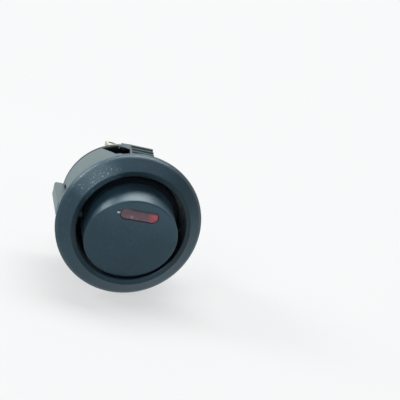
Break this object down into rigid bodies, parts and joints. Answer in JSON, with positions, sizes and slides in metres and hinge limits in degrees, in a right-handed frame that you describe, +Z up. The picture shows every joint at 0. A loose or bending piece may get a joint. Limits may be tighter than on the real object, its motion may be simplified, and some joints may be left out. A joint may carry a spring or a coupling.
{
  "type": "round illuminated panel rocker switch",
  "caption": "Round black panel rocker switch with a lamp window in its tilting face, a bevelled flange, snap arms on its drum and blade terminals behind.",
  "frame": {"origin": "on the switch's axis, in the plane where the flange seats on the panel's front face", "axes": "as in a vertical panel: +Y runs along the axis into the panel toward the terminals, the rocker faces -Y, +Z is up at the rocker's lamp end, +X is right seen from behind the terminals with the lamp up, and the rocker turns about an axis parallel to X"},
  "size_m": [0.023, 0.0284, 0.0238],
  "materials": {
    "black_plastic": "fine matt moulding with small specks",
    "base_plastic": "matt moulding",
    "rocker_plastic": "satin moulding",
    "red_lens": "translucent red, unlit",
    "plunger_plastic": "natural nylon",
    "spring_steel": "drawn wire",
    "copper": "rolled copper strip",
    "silver_contact": "silver alloy",
    "tin_plate": "tin-plated brass",
    "led_epoxy": "red epoxy",
    "lead_wire": "tinned wire",
    "resistor_coat": "painted ceramic"
  },
  "bodies": {
    "switch_body": {"housing": "black_plastic", "base": "base_plastic", "fixed_contact": "silver_contact", "common_terminal": "tin_plate", "load_terminal": "tin_plate", "ground_terminal": "tin_plate", "led_lamp": "led_epoxy", "cathode_lead": "lead_wire", "anode_lead": "lead_wire", "led_resistor": "resistor_coat"},
    "rocker_body": {"rocker": "rocker_plastic", "lens": "red_lens", "plunger_spring": "spring_steel"},
    "plunger_body": {"plunger": "plunger_plastic"},
    "blade_body": {"contact_blade": "copper", "moving_contact": "silver_contact"}
  },
  "joints": [
    {"name": "rocker_hinge", "type": "hinge", "parent": "switch_body", "child": "rocker_body", "pos_m": [0, 0.0018, 0], "axis": [-1, 0, 0], "range_deg": [0, 30]},
    {"name": "blade_hinge", "type": "hinge", "parent": "switch_body", "child": "blade_body", "pos_m": [0, 0.0093, 0], "axis": [1, 0, 0], "range_deg": [0, 16]},
    {"name": "plunger_slide", "type": "slide", "parent": "rocker_body", "child": "plunger_body", "axis": [0, -0.9659, -0.2588], "range_m": [0, 0.0008], "stiffness_N_per_m": 600, "deforming": ["plunger_spring"]}
  ],
  "couplings": [
    {"joint": "blade_hinge", "follows": "rocker_hinge", "ratio": 0.53333}
  ]
}
